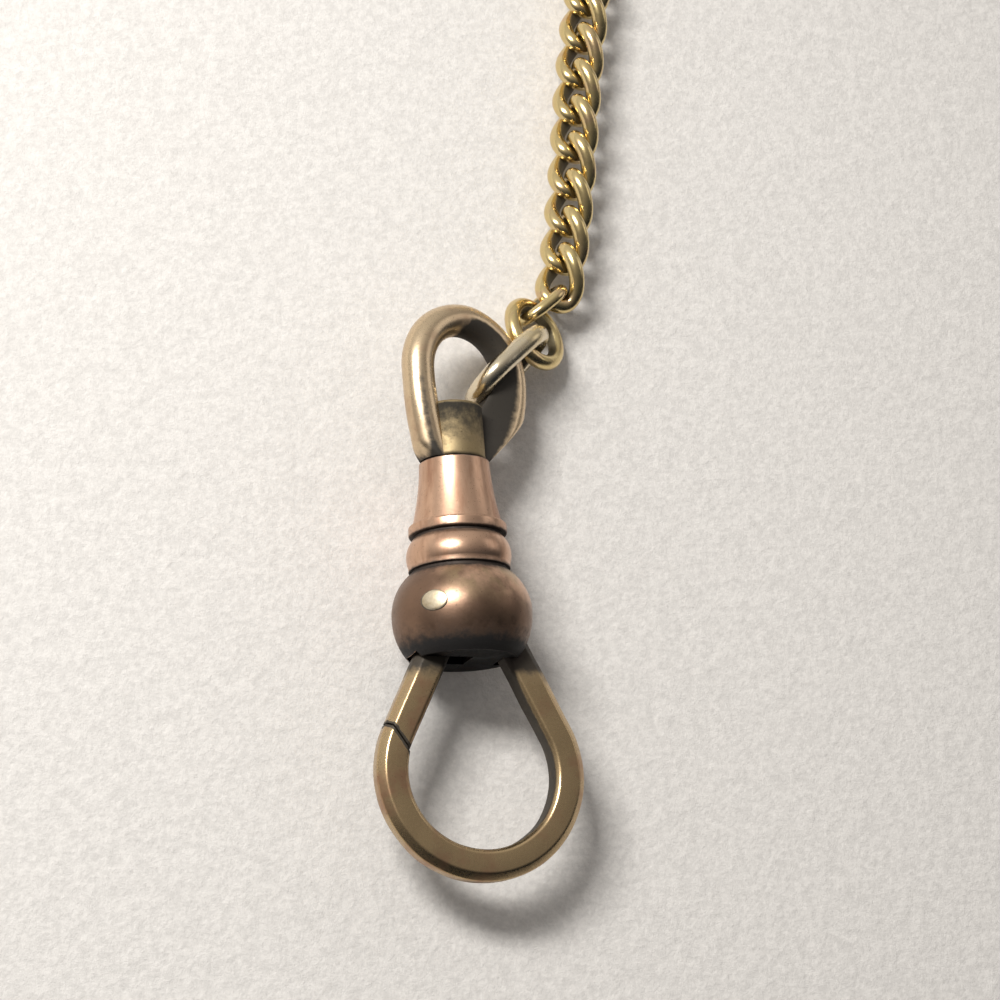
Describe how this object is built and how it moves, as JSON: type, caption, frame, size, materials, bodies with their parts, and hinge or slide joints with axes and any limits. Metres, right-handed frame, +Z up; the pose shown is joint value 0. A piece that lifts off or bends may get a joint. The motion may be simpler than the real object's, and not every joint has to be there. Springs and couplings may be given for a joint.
{
  "type": "watch chain swivel clasp",
  "caption": "Hook with a sprung gate on a turned swivel barrel, with a wire bow, two jump rings, an end link and twisted curb chain for a pocket watch",
  "frame": {"origin": "centre of the hook's round bend, in the middle of the bar's thickness", "axes": "+Y runs from the hook along the barrel to the chain, +Z is up off the flat face the hook lies on, +X is towards the fixed limb, away from the gate"},
  "size_m": [0.0168, 0.0563, 0.0074],
  "materials": {
    "hook_gold": "worn polish, gold filled",
    "rose_gold": "worn polish, rose gold filled",
    "bow_gold": "polished, gold filled",
    "stem_brass": "satin, dulled",
    "yellow_gold": "polished, gold filled",
    "pale_metal": "polished, pale where solder and wear show",
    "spring_steel": "blued and oiled"
  },
  "bodies": {
    "housing": {"hook_frame": "hook_gold", "ball_shell": "rose_gold", "ball_floor": "rose_gold", "bead_collar": "rose_gold", "cone_sleeve": "rose_gold", "gate_pin": "pale_metal", "gate_spring": "spring_steel"},
    "gate": {"gate_lever": "hook_gold"},
    "swivel": {"swivel_stem": "stem_brass", "stem_washer": "stem_brass", "bow": "bow_gold"},
    "long_link": {"long_link": "pale_metal"},
    "jump_ring": {"jump_ring": "yellow_gold"},
    "end_link": {"end_link": "yellow_gold"},
    "curb_01": {"curb_link_01": "yellow_gold"},
    "curb_02": {"curb_link_02": "yellow_gold"},
    "curb_03": {"curb_link_03": "yellow_gold"},
    "curb_04": {"curb_link_04": "yellow_gold"},
    "curb_05": {"curb_link_05": "yellow_gold"},
    "curb_06": {"curb_link_06": "yellow_gold"},
    "curb_07": {"curb_link_07": "yellow_gold"},
    "curb_08": {"curb_link_08": "yellow_gold"},
    "curb_09": {"curb_link_09": "yellow_gold"},
    "curb_10": {"curb_link_10": "yellow_gold"},
    "curb_11": {"curb_link_11": "yellow_gold"}
  },
  "joints": [
    {"name": "gate_hinge", "type": "hinge", "parent": "housing", "child": "gate", "pos_m": [-0.0028, 0.0081, 0], "axis": [0, 0, 1], "range_deg": [0, 28], "stiffness_Nm_per_rad": 0.01, "springref_deg": -20.05},
    {"name": "swivel_turn", "type": "hinge", "parent": "housing", "child": "swivel", "pos_m": [-0.0005, 0.01594, 0], "axis": [0, 1, 0], "continuous": true},
    {"name": "long_link_swing", "type": "hinge", "parent": "swivel", "child": "long_link", "pos_m": [0.0031, 0.02165, -0.00124], "axis": [0.2831, -0.9541, -0.0975], "range_deg": [-20, 20]},
    {"name": "ring_swing", "type": "hinge", "parent": "long_link", "child": "jump_ring", "pos_m": [0.00501, 0.02339, -0.00153], "axis": [0, 0, 1], "range_deg": [-15, 4]},
    {"name": "end_link_swing", "type": "hinge", "parent": "jump_ring", "child": "end_link", "pos_m": [0.00447, 0.02469, -0.00242], "axis": [0, 0, 1], "range_deg": [-3, 12]},
    {"name": "curb_swing_01", "type": "hinge", "parent": "end_link", "child": "curb_01", "pos_m": [0.00672, 0.02657, -0.00236], "axis": [0, 0, 1], "range_deg": [-10, 10]},
    {"name": "curb_swing_02", "type": "hinge", "parent": "curb_01", "child": "curb_02", "pos_m": [0.00701, 0.02831, -0.00215], "axis": [-0.2043, 0.0388, 0.9781], "range_deg": [-7, 5]},
    {"name": "curb_swing_03", "type": "hinge", "parent": "curb_02", "child": "curb_03", "pos_m": [0.00739, 0.03048, -0.00215], "axis": [0.9764, -0.1651, -0.1392], "range_deg": [-5, 5]},
    {"name": "curb_swing_04", "type": "hinge", "parent": "curb_03", "child": "curb_04", "pos_m": [0.00773, 0.03265, -0.00215], "axis": [-0.2059, 0.0291, 0.9781], "range_deg": [-5, 5]},
    {"name": "curb_swing_05", "type": "hinge", "parent": "curb_04", "child": "curb_05", "pos_m": [0.00802, 0.03483, -0.00215], "axis": [0.9825, -0.1241, -0.1392], "range_deg": [-5, 5]},
    {"name": "curb_swing_06", "type": "hinge", "parent": "curb_05", "child": "curb_06", "pos_m": [0.00831, 0.03702, -0.00215], "axis": [-0.2061, 0.0273, 0.9781], "range_deg": [-5, 5]},
    {"name": "curb_swing_07", "type": "hinge", "parent": "curb_06", "child": "curb_07", "pos_m": [0.00861, 0.03919, -0.00215], "axis": [0.9794, -0.1464, -0.1392], "range_deg": [-5, 5]},
    {"name": "curb_swing_08", "type": "hinge", "parent": "curb_07", "child": "curb_08", "pos_m": [0.00895, 0.04137, -0.00215], "axis": [-0.2052, 0.0336, 0.9781], "range_deg": [-5, 5]},
    {"name": "curb_swing_09", "type": "hinge", "parent": "curb_08", "child": "curb_09", "pos_m": [0.00932, 0.04354, -0.00215], "axis": [0.9761, -0.1668, -0.1392], "range_deg": [-5, 5]},
    {"name": "curb_swing_10", "type": "hinge", "parent": "curb_09", "child": "curb_10", "pos_m": [0.00969, 0.04571, -0.00215], "axis": [-0.2049, 0.0354, 0.9781], "range_deg": [-5, 5]},
    {"name": "curb_swing_11", "type": "hinge", "parent": "curb_10", "child": "curb_11", "pos_m": [0.01006, 0.04787, -0.00215], "axis": [0.9758, -0.1686, -0.1392], "range_deg": [-5, 5]}
  ]
}
